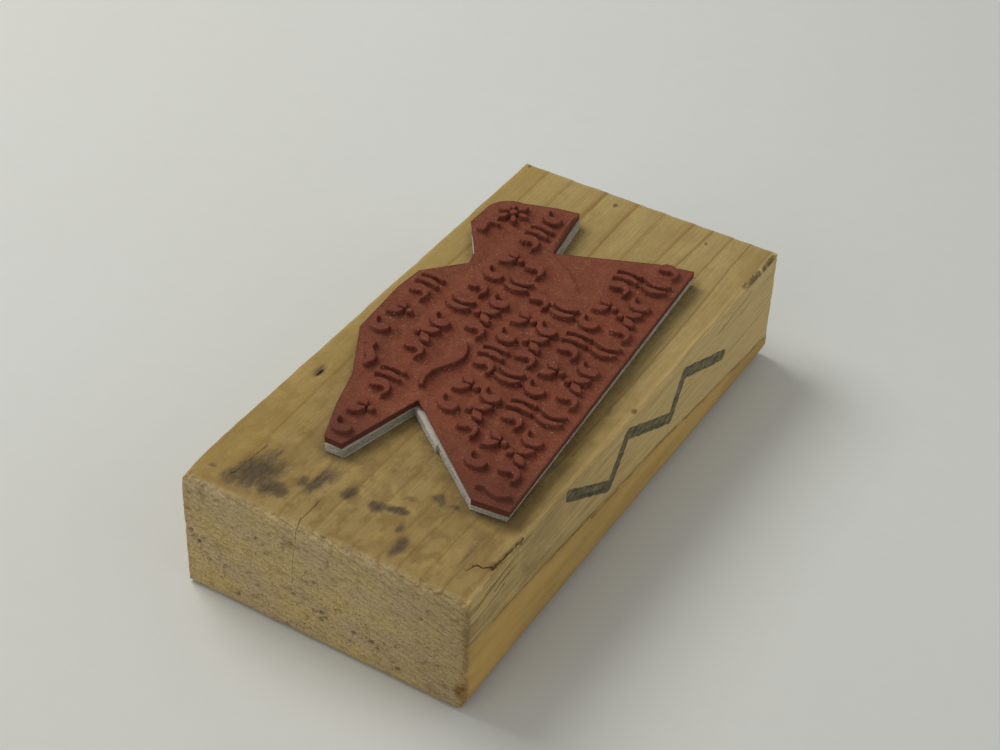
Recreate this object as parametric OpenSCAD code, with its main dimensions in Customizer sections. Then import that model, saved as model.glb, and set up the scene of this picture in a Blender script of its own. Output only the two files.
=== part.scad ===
/* [Block] */
// Width of the wooden block, across the grain
block_w = 42.5; // [36:0.5:50]
// Length of the wooden block, along the grain
block_l = 84.5; // [76:0.5:96]
// Thickness of the planed board the block is sawn from
block_h = 19; // [15:0.5:22]
// Radius of the block's upright corners
corner_r = 1.2; // [0.5:0.1:3]
// Radius of the edges round the top face
top_edge_r = 1; // [0.3:0.1:2]
// Radius of the edges round the underside
base_edge_r = 1.2; // [0.3:0.1:2]
// Radius of the worn edge along the underside's right side
worn_edge_r = 3; // [1:0.5:5]

/* [Stack] */
// Thickness of each adhesive film
film_t = 0.1; // [0.05:0.05:0.3]
// Thickness of the foam cushion
foam_t = 1.1; // [0.8:0.1:3]
// How far the films stay back from the cushion's outline
film_setback = 0.2; // [0.1:0.1:0.5]
// Thickness of the rubber sheet under the relief
sheet_t = 1.1; // [0.8:0.1:2]
// Height of the relief above the rubber sheet
relief_h = 0.8; // [0.4:0.1:1.2]

/* [Relief] */
// Width of the relief's strokes
stroke_w = 0.85; // [0.6:0.05:1]
// Distance from one motif to the next along a row
pitch = 4; // [3.9:0.1:4.4]
// Outer radius of a paisley drop
drop_r = 1.8; // [1.5:0.1:1.9]
// Length of a leaf
leaf_l = 2.3; // [1.6:0.1:2.5]
// Radius of a dot
dot_r = 0.5; // [0.35:0.05:0.6]

/* [Hidden] */

$fn = 48;
drop_steps = 11;
leaf_steps = 6;
swash_steps = 14;
crescent_steps = 6;
sink = 0.4;        // depth at which the relief's prisms start inside the sheet
petals = 6;        // petals of the flower on the tab
leaf_spread = 35;  // angle of each leaf of a pair from the row's cross direction
over = 1;          // reach of a cutting shape past the face it cuts

z_block_film = block_h;
z_foam = z_block_film + film_t;
z_die_film = z_foam + foam_t;
z_sheet = z_die_film + film_t;
z_relief = z_sheet + sheet_t;

// ---- plan outlines, anticlockwise, in the block's own frame ----

// Points along a circular arc, both ends included.
function arc(centre, r, a0, a1, steps) =
    [for (i = [0 : steps]) let (a = a0 + (a1 - a0) * i / steps) centre + r * [cos(a), sin(a)]];

// The rubber is cut by hand round its printed area: two legs with a notch between
// them at the near end, and a round-cornered tab at the far end.
die_outline = concat(
    [[-8.5, -29], [-5.8, -29], [-2.5, -16.6], [13, -28.8], [18.2, -28.2]],
    [[14.5, 28], [9.5, 26.8], [-4.2, 20.8], [-5.9, 31.5], [-9.3, 30.8]],
    arc([-14, 25.2], 4, 90, 170, 6),
    [[-18, 21], [-13.6, 14.9], [-12.9, 12.4], [-17.7, 7], [-18.1, 2.3]],
    [[-17.4, -8], [-16, -10.5], [-12.5, -17], [-10.8, -23]]
);

// The cushion was cut with the rubber but is a little askew under it, and it keeps
// a small step where two cuts meet along the notch.
cushion_outline = concat(
    [[-8.3, -29.2], [-5.6, -29.1], [-2.7, -17.1], [3.6, -21.9], [3.8, -21.6]],
    [[12.7, -28.4], [17.7, -27.8], [14.3, 27.9], [9.4, 26.6], [-4, 20.7]],
    [[-5.7, 31.3], [-9.3, 30.7]],
    arc([-13.9, 25.1], 3.9, 90, 170, 6),
    [[-17.8, 21], [-13.5, 14.8], [-12.8, 12.4], [-17.5, 7], [-17.9, 2.3]],
    [[-17.2, -8], [-15.9, -10.4], [-12.4, -17], [-10.7, -23.1]]
);

// ---- relief motifs ----

// A stroke along a path, its width at each point given by a list as long as the path.
module stroke(path, widths) {
    n = len(path) - 1;
    across = [for (i = [0 : n])
        let (along = path[min(i + 1, n)] - path[max(i - 1, 0)])
        0.5 * widths[i] * [-along.y, along.x] / norm(along)];
    right = [for (i = [0 : n]) path[i] - across[i]];
    left = [for (i = [n : -1 : 0]) path[i] + across[i]];
    polygon(concat(right, left));
}

// Widths of a stroke that swells to w in its middle and is thin at both ends.
function swelling(w, steps) = [for (i = [0 : steps]) w * (0.3 + 0.7 * sin(180 * i / steps))];

// A paisley drop: a full head, and a tail that swings round to a point.
module drop() {
    head_w = 1.9 * stroke_w;
    head_end = 0.25;
    path = [for (i = [0 : drop_steps])
        let (t = i / drop_steps, a = 255 - 200 * t)
        (drop_r - head_w / 2 + 0.5 * t) * [cos(a), sin(a)]];
    widths = [for (i = [0 : drop_steps])
        let (t = i / drop_steps)
        t < head_end ? head_w * (0.35 + 0.65 * sin(90 * t / head_end))
                     : head_w * (1 - 0.88 * (t - head_end) / (1 - head_end))];
    stroke(path, widths);
}

// An almond-shaped leaf along +X from the origin.
module leaf(l) {
    half_w = 0.24 * l;
    upper = [for (i = [0 : leaf_steps]) let (t = i / leaf_steps) [l * t, half_w * sin(180 * t)]];
    lower = [for (i = [1 : leaf_steps - 1]) let (t = 1 - i / leaf_steps) [l * t, -half_w * sin(180 * t)]];
    polygon(concat(upper, lower));
}

// Two leaves spread from one foot, with a dot below it.
module leaf_pair() {
    foot = -1.1;
    for (side = [-1, 1]) {
        translate([0, foot]) rotate(90 - side * leaf_spread) translate([0.4, 0]) leaf(leaf_l);
    }
    translate([0, foot - 0.4]) circle(r = 0.8 * dot_r);
}

// Two crescents side by side.
module crescents() {
    bend_r = 3.2;
    path = arc([bend_r, 0], bend_r, 146, 214, crescent_steps);
    for (x = [-0.8, 0.8]) translate([x, 0]) stroke(path, swelling(stroke_w, crescent_steps));
}

// A long S-shaped flourish along +X from the origin.
module swash(l, rise) {
    path = [for (i = [0 : swash_steps])
        let (t = i / swash_steps) [l * t, rise * sin(360 * t)]];
    stroke(path, swelling(1.4 * stroke_w, swash_steps));
}

// Petals round a centre dot.
module flower() {
    circle(r = dot_r);
    for (i = [0 : petals - 1]) {
        rotate(360 * i / petals) translate([1.6 * dot_r, 0]) leaf(0.7 * leaf_l);
    }
}

// ---- relief layout ----

// A row of ornament from one point to another. Every second motif is a drop, and leaves
// and crescents take turns between the drops. Each pair is turned round from the last.
module row(from, to, first_side) {
    run = to - from;
    count = floor(norm(run) / pitch);
    translate(from) rotate(atan2(run.y, run.x)) {
        for (i = [0 : count - 1]) {
            turn = first_side * (i % 4 < 2 ? 1 : -1) < 0 ? 180 : 0;
            translate([pitch * (i + 0.5), 0]) rotate(turn) {
                if (i % 2 == 0) drop();
                if (i % 4 == 1) leaf_pair();
                if (i % 4 == 3) crescents();
            }
        }
    }
}

// Rows of ornament: start, end, way round of the first drop
rows = [
    [[-14.8, -8.2], [-14.8, 7.9], 1],
    [[-7.2, -28], [-8.3, -12], 1],
    [[-8.6, -11], [-8.6, 9.1], -1],
    [[-8.2, 10], [-8, 30.1], 1],
    [[-4, -3.2], [-4.2, 17], -1],
    [[1.6, -17], [-0.1, 11.4], 1],
    [[6, -20.8], [3.9, 11.5], -1],
    [[10.4, -24.4], [7.4, 24], 1],
    [[14.8, -25.2], [11.6, 26.9], -1]
];

// Swashes: start, length, rise, direction
swashes = [
    [[-3.5, -14.4], 10.5, 0.9, 88],
    [[12.6, -26.8], 4.6, 0.4, 6],
    [[-12, -14.8], 4.6, -0.5, 105]
];

// Places of the flower and the single drop on the tab
tab_flower = [-13.6, 25.6];
tab_drop = [-14.6, 20.6];

module relief_plan() {
    for (r = rows) row(r[0], r[1], r[2]);
    for (s = swashes) translate(s[0]) rotate(s[3]) swash(s[1], s[2]);
    translate(tab_flower) flower();
    translate(tab_drop) drop();
}

// ---- sub-parts ----

// What a round corner leaves off a square one whose tip is at the origin.
module corner_waste(r) {
    difference() {
        translate([-over, -over]) square(r + over);
        translate([r, r]) circle(r = r);
    }
}

// A rectangle centred on X that stands on Y = 0, its corners rounded by
// [lower left, lower right, upper right, upper left] radii.
module rounded_section(w, h, radii) {
    corners = [[-w / 2, 0], [w / 2, 0], [w / 2, h], [-w / 2, h]];
    difference() {
        translate([-w / 2, 0]) square([w, h]);
        for (i = [0 : 3]) translate(corners[i]) rotate(90 * i) corner_waste(radii[i]);
    }
}

// The block: a sawn length of planed board, its grain along Y.
module wood_block() {
    color("burlywood")
    intersection() {
        translate([0, -block_l / 2, 0])
            linear_extrude(block_h)
            rounded_section(block_w, block_l, [corner_r, corner_r, corner_r, corner_r]);
        translate([0, block_l / 2, 0]) rotate([90, 0, 0])
            linear_extrude(block_l)
            rounded_section(block_w, block_h, [base_edge_r, worn_edge_r, top_edge_r, top_edge_r]);
        translate([-block_w / 2, 0, 0]) rotate([90, 0, 90])
            linear_extrude(block_w)
            rounded_section(block_l, block_h, [base_edge_r, base_edge_r, top_edge_r, top_edge_r]);
    }
}

// A film of adhesive: the cushion's outline, pulled a little towards its middle.
module film() {
    shrink = 1 - film_setback / (block_w / 2);
    linear_extrude(film_t) scale([shrink, shrink]) polygon(cushion_outline);
}

module block_film() {
    color("gainsboro") translate([0, 0, z_block_film]) film();
}

module foam_cushion() {
    color("lightgray") translate([0, 0, z_foam]) linear_extrude(foam_t) polygon(cushion_outline);
}

module die_film() {
    color("gainsboro") translate([0, 0, z_die_film]) film();
}

// The die: a moulded rubber sheet with its raised ornament, all one piece.
module rubber_die() {
    color("sienna") {
        translate([0, 0, z_sheet]) linear_extrude(sheet_t) polygon(die_outline);
        translate([0, 0, z_relief - sink]) linear_extrude(relief_h + sink) relief_plan();
    }
}

wood_block();
block_film();
foam_cushion();
die_film();
rubber_die();
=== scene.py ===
"""Looks of a wood-mounted rubber stamp, lying die side up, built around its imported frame."""

import math
from types import SimpleNamespace

import bpy
import numpy as np
from mathutils import Matrix, Vector
from mathutils.geometry import delaunay_2d_cdt


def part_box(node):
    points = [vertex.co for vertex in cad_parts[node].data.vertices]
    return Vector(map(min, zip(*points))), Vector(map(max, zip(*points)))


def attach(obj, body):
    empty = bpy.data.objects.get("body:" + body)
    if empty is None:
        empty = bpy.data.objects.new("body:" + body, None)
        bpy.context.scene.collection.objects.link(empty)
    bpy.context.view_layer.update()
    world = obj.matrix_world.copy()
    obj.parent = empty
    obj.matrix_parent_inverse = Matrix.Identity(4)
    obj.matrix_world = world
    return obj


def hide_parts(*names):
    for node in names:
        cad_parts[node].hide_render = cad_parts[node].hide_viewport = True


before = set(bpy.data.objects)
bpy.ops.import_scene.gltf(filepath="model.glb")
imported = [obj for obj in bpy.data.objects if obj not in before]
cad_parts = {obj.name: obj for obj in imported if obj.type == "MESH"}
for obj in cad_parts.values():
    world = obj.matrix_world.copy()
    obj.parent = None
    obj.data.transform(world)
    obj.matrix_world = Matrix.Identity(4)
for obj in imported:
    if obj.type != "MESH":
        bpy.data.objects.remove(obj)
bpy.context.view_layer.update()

MM = 0.001

# ---- camera and light ----

CAMERA_AZIMUTH = 29.9        # degrees round from the near end, towards +X
CAMERA_ELEVATION = 39.13
CAMERA_ROLL = 2.25
CAMERA_DISTANCE = 0.2845
CAMERA_AIM = (-0.0036, 0.0061)
LENS = 73.45                 # for the default 36 mm sensor

# Area lights: name, azimuth, elevation, distance, size, power, colour
LIGHTS = [("key", -98, 52, 0.58, 0.36, 1.62, (1.0, 0.985, 0.955)),
          ("fill", -12, 22, 0.9, 0.9, 1.25, (1.0, 0.98, 0.95)),
          ("bounce", 98, 24, 0.9, 0.9, 0.95, (1.0, 0.98, 0.95))]


def direction(azimuth, elevation):
    """Unit vector from the object towards a viewer or a light."""
    a, e = math.radians(azimuth), math.radians(elevation)
    return Vector((math.sin(a) * math.cos(e), -math.cos(a) * math.cos(e), math.sin(e)))


def linked(name, data):
    """A new object in the scene."""
    piece = bpy.data.objects.new(name, data)
    bpy.context.collection.objects.link(piece)
    return piece


def add_camera():
    block_low, block_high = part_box("wood_block")
    aim = Vector((*CAMERA_AIM, (block_low[2] + block_high[2]) / 2))
    back = direction(CAMERA_AZIMUTH, CAMERA_ELEVATION)
    data = bpy.data.cameras.new("camera")
    data.lens = LENS
    camera = linked("camera", data)
    upright = (-back).to_track_quat("-Z", "Y").to_matrix().to_4x4()
    roll = Matrix.Rotation(math.radians(CAMERA_ROLL), 4, "Z")
    camera.matrix_world = Matrix.Translation(aim + back * CAMERA_DISTANCE) @ upright @ roll
    data.clip_start, data.clip_end = 0.01, 10
    bpy.context.scene.camera = camera


def add_area_light(name, azimuth, elevation, distance, size, power, colour):
    data = bpy.data.lights.new(name, "AREA")
    data.shape = "DISK"
    data.size = size
    data.energy = power
    data.color = colour
    lamp = linked(name, data)
    towards = direction(azimuth, elevation)
    lamp.location = towards * distance
    lamp.rotation_euler = towards.to_track_quat("Z", "Y").to_euler()


def add_world(colour, strength):
    world = bpy.data.worlds.new("studio")
    bpy.context.scene.world = world
    world.use_nodes = True
    background = world.node_tree.nodes["Background"]
    background.inputs["Color"].default_value = (*colour, 1)
    background.inputs["Strength"].default_value = strength


# ---- numbers over points ----

def hashed(cell, seed):
    """A repeatable number from 0 to 1 for each row of whole numbers."""
    n = cell[:, 0] * 374761393 + cell[:, 1] * 668265263 + cell[:, 2] * 2147483647 + seed * 974634777
    n = (n ^ (n >> 13)) * 1274126177
    n = n ^ (n >> 16)
    return (n & 0xFFFFFF) / float(0xFFFFFF)


def value_noise(points, seed=0):
    """Smooth noise from 0 to 1 with a grid of one unit."""
    base = np.floor(points).astype(np.int64)
    part = points - base
    part = part * part * (3 - 2 * part)
    total = np.zeros(len(points))
    for corner in range(8):
        step = np.array([corner & 1, (corner >> 1) & 1, (corner >> 2) & 1])
        weight = np.prod(np.where(step, part, 1 - part), axis=1)
        total += weight * hashed(base + step, seed)
    return total


def layered_noise(points, seed=0, octaves=3):
    """Value noise with finer layers on top, from 0 to 1."""
    total, weight, full = 0.0, 1.0, 0.0
    for i in range(octaves):
        total = total + weight * value_noise(points * 2.03 ** i, seed + 17 * i)
        full += weight
        weight *= 0.5
    return total / full


def smooth_step(value, low, high):
    t = np.clip((value - low) / (high - low), 0, 1)
    return t * t * (3 - 2 * t)


def pairs(path):
    """The two ends of each straight part of a path."""
    return zip(path[:-1], path[1:])


def closed(loop):
    """A closed loop as a path that ends where it starts."""
    return np.vstack([loop, loop[:1]])


def path_distance(points, path):
    """Distance from each 2-D point to a path."""
    best = np.full(len(points), 1e9)
    for a, b in pairs(path):
        along = np.subtract(b, a)
        length = max(float(along @ along), 1e-12)
        t = np.clip(((points - a) @ along) / length, 0, 1)
        best = np.minimum(best, np.hypot(*(points - a - t[:, None] * along).T))
    return best


def inside(points, loop):
    """True for the 2-D points that a closed loop encloses."""
    crossings = np.zeros(len(points), dtype=np.int64)
    x, y = points[:, 0], points[:, 1]
    for (ax, ay), (bx, by) in pairs(closed(loop)):
        if ay == by:
            continue
        spans = (ay > y) != (by > y)
        crossings += spans & (x < (bx - ax) * (y - ay) / (by - ay) + ax)
    return crossings % 2 == 1


# ---- the frame's shapes, in millimetres ----

def node_mesh(name):
    """A CAD node's corners, merged where they coincide, and its triangles."""
    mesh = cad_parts[name].data
    mesh.calc_loop_triangles()
    corners = np.array([v.co for v in mesh.vertices]) / MM
    triangles = np.array([t.vertices for t in mesh.loop_triangles])
    keys, merged = np.unique(np.round(corners, 3), axis=0, return_inverse=True)
    return keys, merged.reshape(-1)[triangles]


def loops_at(corners, triangles, height):
    """Closed outlines, as point lists, of the flat face of a mesh at one height."""
    flat = triangles[(np.abs(corners[triangles][:, :, 2] - height) < 0.005).all(axis=1)]
    edges = {}
    for a, b, c in flat:
        for edge in ((a, b), (b, c), (c, a)):
            if (edge[1], edge[0]) in edges:
                del edges[(edge[1], edge[0])]
            else:
                edges[edge] = True
    following = {a: b for a, b in edges}
    loops = []
    while following:
        first, here = following.popitem()
        loop = [first]
        while here != first:
            loop.append(here)
            here = following.pop(here)
        loops.append(corners[loop][:, :2])
    return loops


def slab(name):
    """A CAD slab's outline below, the heights of its two faces, and its mesh."""
    mesh = node_mesh(name)
    low_z, high_z = mesh[0][:, 2].min(), mesh[0][:, 2].max()
    return max(loops_at(*mesh, low_z), key=len), low_z, high_z, mesh


def resampled(loop, step):
    """The closed loop's corners, with points added so that none are further apart than step."""
    points = []
    for a, b in pairs(closed(loop)):
        count = max(1, int(math.ceil(np.linalg.norm(b - a) / step)))
        points += [a + (b - a) * i / count for i in range(count)]
    return np.array(points)


def turns_left(loop):
    """True for a closed loop that runs anticlockwise."""
    x, y = loop.T
    return np.sum(x * np.roll(y, -1) - np.roll(x, -1) * y) > 0


def outward(loop):
    """Unit normals that point out of a closed loop, whichever way round it runs."""
    along = np.roll(loop, -1, axis=0) - np.roll(loop, 1, axis=0)
    normal = np.stack([along[:, 1], -along[:, 0]], axis=1)
    normal /= np.linalg.norm(normal, axis=1)[:, None]
    return normal if turns_left(loop) else -normal


# ---- meshes ----

def mesh_object(name, points_mm, faces, material, smooth_angle=50):
    mesh = bpy.data.meshes.new(name)
    mesh.from_pydata((np.asarray(points_mm) * MM).tolist(), [], faces)
    mesh.materials.append(material)
    mesh.update()
    mesh.shade_smooth()
    mesh.set_sharp_from_angle(angle=math.radians(smooth_angle))
    return linked(name, mesh)


def add_attribute(piece, name, values):
    layer = piece.data.attributes.new(name, "FLOAT", "POINT")
    layer.data.foreach_set("value", np.asarray(values, dtype=np.float32))


def lattice_axis(low, high, step, edge_step, edge_band):
    """Places along one side of a box, closer together near its two ends."""
    ends = np.linspace(0, edge_band, int(round(edge_band / edge_step)) + 1)
    middle_count = int(round((high - low - 2 * edge_band) / step))
    middle = np.linspace(low + edge_band, high - edge_band, middle_count + 1)
    return np.concatenate([low + ends[:-1], middle, (high - ends[:-1])[::-1]])


def box_lattice(xs, ys, zs):
    """The surface of a box as a closed grid of quads: its points and its faces."""
    shape = (len(xs), len(ys), len(zs))
    index = np.indices(shape)
    last = np.array(shape).reshape(3, 1, 1, 1) - 1
    on_surface = ((index == 0) | (index == last)).any(axis=0)
    number = np.cumsum(on_surface.reshape(-1)).reshape(shape) - 1
    i, j, k = index[:, on_surface]
    points = np.stack([xs[i], ys[j], zs[k]], axis=1)
    faces = []
    for axis in range(3):
        for end in (0, -1):
            sheet = np.take(number, end, axis=axis)
            quads = np.stack([sheet[:-1, :-1], sheet[1:, :-1], sheet[1:, 1:], sheet[:-1, 1:]], axis=-1)
            quads = quads.reshape(-1, 4)
            flip = (end == 0) != (axis == 1)
            faces.append(quads[:, ::-1] if flip else quads)
    return points, np.concatenate(faces).tolist()


# ---- shaders ----

class Shader:
    """A material whose nodes are made one call at a time."""

    def __init__(self, name, roughness, specular=0.5):
        self.material = bpy.data.materials.new(name)
        self.material.use_nodes = True
        self.tree = self.material.node_tree
        self.surface = self.tree.nodes["Principled BSDF"]
        self.set("Roughness", roughness)
        self.set("Specular IOR Level", specular)
        self.place = self.vector("SCALE", self.node("TexCoord", "Object", {}), scale=1 / MM)

    def feed(self, socket, value):
        if isinstance(value, bpy.types.NodeSocket):
            self.tree.links.new(value, socket)
        else:
            socket.default_value = (*value, 1) if socket.type == "RGBA" else value

    def set(self, name, value):
        self.feed(self.surface.inputs[name], value)

    def node(self, kind, output, inputs, **settings):
        """One output of a new node, its inputs given by name or number."""
        node = self.tree.nodes.new("ShaderNode" + kind)
        for name, value in settings.items():
            setattr(node, name, value)
        for name, value in inputs.items():
            if value is not None:
                self.feed(node.inputs[name], value)
        return node.outputs[output]

    def vector(self, operation, a, b=None, scale=None):
        output = "Value" if operation in ("LENGTH", "DOT_PRODUCT") else "Vector"
        return self.node("VectorMath", output, {0: a, 1: b, "Scale": scale}, operation=operation)

    def math(self, operation, a, b=None, c=None, clamp=False):
        return self.node("Math", "Value", {0: a, 1: b, 2: c}, operation=operation, use_clamp=clamp)

    def times(self, a, b):
        return self.math("MULTIPLY", a, b)

    def plus(self, a, b):
        return self.math("ADD", a, b)

    def minus(self, a, b, clamp=False):
        return self.math("SUBTRACT", a, b, clamp=clamp)

    def times_plus(self, a, b, c):
        return self.math("MULTIPLY_ADD", a, b, c)

    def axis(self, name):
        return self.node("SeparateXYZ", name, {0: self.place})

    def combined(self, x, y, z):
        return self.node("CombineXYZ", "Vector", {0: x, 1: y, 2: z})

    def stretched(self, scale, offset=(0, 0, 0)):
        """The place in millimetres, scaled along each axis."""
        return self.vector("ADD", self.vector("MULTIPLY", self.place, scale), offset)

    def about(self, centre, scale):
        """The place in millimetres from a centre, scaled along each axis."""
        return self.vector("MULTIPLY", self.vector("SUBTRACT", self.place, centre), scale)

    def noise(self, scale, detail=2.0, roughness=0.5, offset=(0, 0, 0), distortion=0.0):
        """Noise over the place in millimetres, scaled along each axis."""
        return self.node("TexNoise", "Fac", {
            "Vector": self.stretched(scale, offset), "Scale": 1, "Detail": detail, "Roughness": roughness,
            "Distortion": distortion})

    def sway(self, noise, most):
        """Noise about zero instead of about a half, of a given size."""
        return self.times(self.minus(noise, 0.5), most)

    def cells(self, vector, feature="F1"):
        """Distance to the nearest of some scattered points, or to their cells' edges."""
        return self.node("TexVoronoi", "Distance", {"Vector": vector, "Scale": 1}, feature=feature)

    def white(self, value):
        """A random number from 0 to 1 for each value."""
        return self.node("TexWhiteNoise", "Value", {"W": value}, noise_dimensions="1D")

    def smooth(self, value, low, high, out_low=0.0, out_high=1.0):
        inputs = {"Value": value, "From Min": low, "From Max": high, "To Min": out_low, "To Max": out_high}
        return self.node("MapRange", "Result", inputs, interpolation_type="SMOOTHSTEP")

    def mix(self, factor, a, b):
        return self.node("Mix", 2, {0: factor, 6: a, 7: b}, data_type="RGBA")

    def attribute(self, name):
        return self.node("Attribute", "Fac", {}, attribute_name=name)

    def bump(self, height, depth_mm, strength=1.0):
        inputs = {"Strength": strength, "Distance": depth_mm * MM, "Height": height}
        return self.node("Bump", "Normal", inputs)

    def near_line(self, point, lines):
        """Distance from a point to the nearest of some 3-D segments."""
        nearest = None
        for a, b in lines:
            along = Vector(b) - Vector(a)
            offset = self.vector("SUBTRACT", point, tuple(a))
            part = self.vector("DOT_PRODUCT", offset, tuple(along))
            part = self.math("MULTIPLY", part, 1 / along.length_squared, clamp=True)
            foot = self.vector("SCALE", tuple(along), scale=part)
            away = self.vector("LENGTH", self.vector("SUBTRACT", offset, foot))
            nearest = away if nearest is None else self.math("MINIMUM", nearest, away)
        return nearest


class Paint:
    """A colour that starts between two others, and is laid over with coats one at a time."""

    def __init__(self, shader, mask, low, high):
        self.shader = shader
        self.colour = shader.mix(mask, low, high)

    def tint(self, colour, mask, strength=1.0):
        """Turn towards another colour where the mask is high."""
        if strength != 1.0:
            mask = self.shader.times(mask, strength)
        self.colour = self.shader.mix(mask, self.colour, colour)


def segments(paths, flat_axis):
    """The 3-D segments of some 2-D paths that lie at 0 along one axis."""
    lifted = [[(*p[:flat_axis], 0, *p[flat_axis:]) for p in path] for path in paths]
    return [pair for path in lifted for pair in pairs(path)]


# ---- the block: places on it, in millimetres ----

low, high = (np.array(corner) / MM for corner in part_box("wood_block"))
centre, half_size = (low + high) / 2, (high - low) / 2
RIGHT, NEAR, FAR, TOP = 21.25, -42.25, 42.25, 19    # its faces in x, y and z, from which wear is measured
NEAR_ZONE = -28.0            # its surface is finer from its near end to here, in y
EDGE_BAND = 1.6              # width of the finer surface along its edges
CORE_INSET = 1.2             # depth of the box inside it that its normals point away from

# Where growth rings reach the far top edge, as x
RING_PLACES = [-21.5, -16.7, -12.4, -6.5, -1.2, 3.1, 8.1, 10.9, 14.2, 17.2, 20.4, 23.5]
RING_CENTRE = (-83.5, -303)

# Stains on the top: x, y, half width, half length along the grain, strength
STAINS = [
    (-13.2, -36.9, 2.1, 2.9, 1.0), (-10.2, -38.1, 1.9, 1.3, 0.85), (-15.1, -39.2, 1.2, 1.5, 0.75),
    (-13.3, -33.4, 1.1, 1.7, 0.6), (-8.4, -38.4, 0.9, 0.8, 0.75), (-11.6, -35.2, 1.5, 1.6, 0.6),
    (-5.8, -34.3, 0.8, 2.4, 0.85), (-7.4, -35.4, 0.7, 0.9, 0.65), (-4.6, -32.6, 0.8, 0.9, 0.5),
    (-1.2, -33.8, 0.7, 1.2, 0.9), (-1.9, -34.6, 0.5, 0.5, 0.5),
    (2.9, -34.0, 0.9, 0.7, 1.0), (5.3, -33.2, 1.0, 0.6, 1.0), (4.0, -33.3, 1.3, 0.35, 0.7),
    (8.6, -29.0, 0.9, 0.8, 0.75), (11.0, -28.9, 0.7, 0.5, 0.7), (7.4, -36.0, 0.6, 0.8, 0.75),
    (9.1, -38.4, 0.55, 1.5, 0.85), (16.6, -34.2, 0.4, 3.6, 0.42), (5.6, -30.6, 1.2, 0.5, 0.4),
    (-18.5, -38.7, 0.5, 0.35, 0.55),
]

# The splinter by the near right corner, and finer cracks along the grain of the top
SPLINTER = [(17.7, -37.3), (18.4, -35.8), (19.2, -35.9), (20.1, -35.1), (20.3, -35.4), (20.35, -34.0),
            (20.5, -31.9), (20.65, -28.9)]
TOP_CRACKS = [[(-15.5, -38.8), (-15.3, -36.2), (-15.2, -33.9), (-15.0, -32.0)],
              [(-3.4, -42.1), (-3.7, -40.6), (-3.5, -39.2), (-3.6, -36.9)]]

# Other marks on the top: the knot with a slit in it, a smear, and dots as (x, y, radius)
KNOT = (-18.1, -16.3, 19)
SMEAR = (18.0, -2.8, 19)
DOTS = [(-20.0, 41.2, 0.35), (-4.2, 39.3, 0.5), (20.6, -0.7, 0.5), (11.4, 38.0, 0.3)]

# Dark, barky streaks by the far right top edge, as 3-D segments
EDGE_STREAK = [((20.7, 31.8, 18.8), (20.9, 36.2, 18.8)), ((21.0, 37.4, 18.6), (20.9, 40.8, 18.7))]

# A split that runs on down the near end from a crack on the top, as (x, z)
END_SPLIT = [(-3.4, 19.0), (-3.7, 15.6), (-4.2, 12.4), (-4.4, 8.6)]

# Short splits along the grain of the right side, below the splinter, as (y, z)
SIDE_SPLITS = [[(-38.2, 17.3), (-30.6, 18.1)], [(-36.2, 16.3), (-31.0, 16.8)], [(-41.6, 14.6), (-33.8, 15.5)],
               [(-41.8, 16.4), (-38.4, 16.9)], [(23.0, 16.2), (33.5, 17.2)], [(30.5, 15.2), (40.8, 16.0)],
               [(-12.0, 9.1), (-4.5, 8.6)]]

# The line on the right side between the sawn upper part and the smooth lower part, as (y, z)
SAW_LINE = [(-42.3, 11.7), (-19.7, 10.1), (4.3, 8.1), (41.5, 3.9)]

# A long, plain zigzag in marker pen on the right side, as (y, z)
ZIGZAG = [(-18.4, 17.9), (-7.4, 11.2), (-3.0, 16.9), (9.8, 10.6), (13.0, 16.2), (25.6, 11.0)]
RETRACED = [((-16.2, 15.9), (-8.6, 11.4)), ((-1.2, 15.4), (8.2, 10.9))]

# Pits in the near end grain: x, z, radius
END_PITS = [(-20.1, 9.7, 0.5), (-18.9, 8.3, 0.55), (-19.6, 8.9, 0.4), (-18.1, 9.3, 0.35), (-17.2, 5.9, 0.35),
            (-14.8, 6.0, 0.45), (-9.7, 13.7, 0.35), (-13.0, 2.0, 0.4), (-0.1, 5.8, 0.55), (-0.2, 4.6, 0.5),
            (0.6, 5.2, 0.4), (4.8, 5.1, 0.5), (7.3, 4.8, 0.6), (8.2, 4.1, 0.45), (11.2, 2.3, 0.65),
            (10.5, 3.0, 0.4), (17.0, 6.3, 0.35), (20.9, 3.9, 0.9), (-4.2, 6.8, 0.35)]


def ring_phase(points):
    """Number of growth rings, whole on each dark line, at every point of the board."""
    x, y, z = points.T
    cx, cz = RING_CENTRE
    wander = 1.1 * (layered_noise(points * (0.05, 0.012, 0.05), 5) - 0.5)
    bow = 0.3 * np.sin((y - FAR) / 30) * smooth_step(FAR - y, 0, 30)
    radius = np.hypot(x - cx + 2.2 * bow, z - cz) + wander * smooth_step(FAR - y, 0, 20)
    marks = [math.hypot(place - cx, TOP - cz) for place in RING_PLACES]
    inner = (radius - marks[0]) / (marks[1] - marks[0])
    return np.where(radius < marks[0], inner, np.interp(radius, marks, np.arange(len(marks))))


def round_corner(points, axes, signs, radius):
    """Bring what sticks out of one rounded edge of the block back onto it."""
    a, b = axes
    u = points[:, a] * signs[0] - (half_size[a] - radius)
    v = points[:, b] * signs[1] - (half_size[b] - radius)
    out = np.hypot(u, v)
    over = (u > 0) & (v > 0) & (out > radius)
    keep = np.where(over, radius / np.maximum(out, 1e-9), 1.0)
    points[:, a] = np.where(over, signs[0] * (half_size[a] - radius + u * keep), points[:, a])
    points[:, b] = np.where(over, signs[1] * (half_size[b] - radius + v * keep), points[:, b])


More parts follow.
